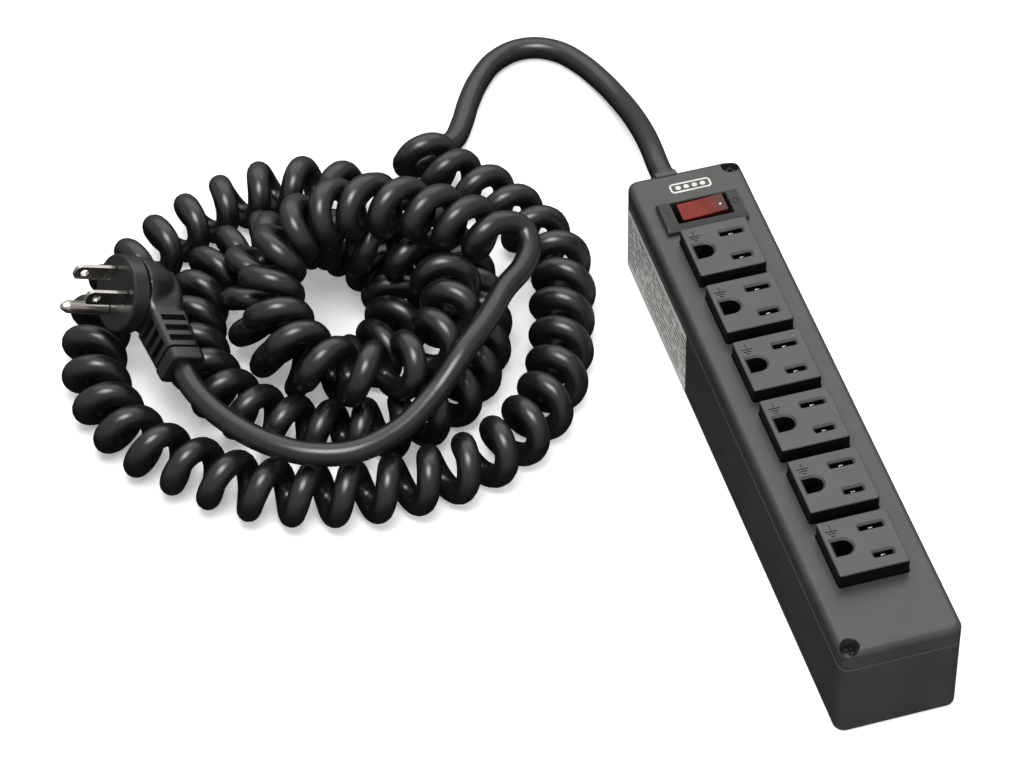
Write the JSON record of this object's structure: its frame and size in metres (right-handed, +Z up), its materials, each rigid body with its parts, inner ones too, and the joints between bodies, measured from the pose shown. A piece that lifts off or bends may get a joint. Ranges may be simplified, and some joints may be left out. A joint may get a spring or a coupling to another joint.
{
  "type": "power strip",
  "caption": "Long desk power strip with a row of raised outlets, a red rocker switch and a curly mains cord that ends in a round earthed plug.",
  "frame": {"origin": "centre of the strip's underside", "axes": "+Y along the strip to its switch and cord end, +X to the side away from the label and the coiled cord, +Z up out of the outlets"},
  "size_m": [0.2644, 0.3668, 0.0677],
  "materials": {
    "housing_plastic": "satin charcoal",
    "outlet_plastic": "satin dark grey",
    "switch_plastic": "semi-gloss black",
    "red_rocker": "translucent red",
    "pale_plastic": "matte",
    "brass_contact": "bright",
    "nickel": "bright nickel plate",
    "steel": "zinc plated",
    "neon_glass": "clear",
    "label_foil": "silver foil",
    "cord_pvc": "glossy black",
    "black_wire": "glossy",
    "white_wire": "glossy",
    "green_wire": "glossy",
    "brown_wire": "glossy"
  },
  "bodies": {
    "strip": {"bottom_housing": "housing_plastic", "bus_carrier": "pale_plastic", "cord_grip": "cord_pvc", "cord_lead": "cord_pvc", "cord_tail": "cord_pvc", "cover_screw_1": "steel", "cover_screw_2": "steel", "curly_cord": "cord_pvc", "ground_bus": "brass_contact", "hot_bus": "brass_contact", "lamp": "neon_glass", "neutral_bus": "brass_contact", "outlet_1": "outlet_plastic", "outlet_2": "outlet_plastic", "outlet_3": "outlet_plastic", "outlet_4": "outlet_plastic", "outlet_5": "outlet_plastic", "outlet_6": "outlet_plastic", "plug_blade_hot": "nickel", "plug_blade_neutral": "nickel", "plug_body": "cord_pvc", "plug_ground_pin": "nickel", "rating_label": "label_foil", "switch_bezel": "switch_plastic", "switch_body": "switch_plastic", "terminal_line": "brass_contact", "terminal_load": "brass_contact", "terminal_neutral": "brass_contact", "top_cover": "housing_plastic", "wire_ground": "green_wire", "wire_hot": "black_wire", "wire_neutral": "white_wire", "wire_switched": "brown_wire"},
    "rocker": {"rocker": "red_rocker", "rocker_plunger": "pale_plastic", "plunger_spring": "steel"},
    "contact": {"contact_arm": "brass_contact"}
  },
  "joints": [
    {"name": "rocker_hinge", "type": "hinge", "parent": "strip", "child": "rocker", "pos_m": [0, 0.0955, 0.04], "axis": [0, 1, 0], "range_deg": [0, 22]},
    {"name": "contact_hinge", "type": "hinge", "parent": "strip", "child": "contact", "pos_m": [0, 0.0955, 0.0275], "axis": [0, 1, 0], "range_deg": [-13.2, 0]}
  ],
  "couplings": [
    {"joint": "contact_hinge", "follows": "rocker_hinge", "ratio": -0.6}
  ]
}
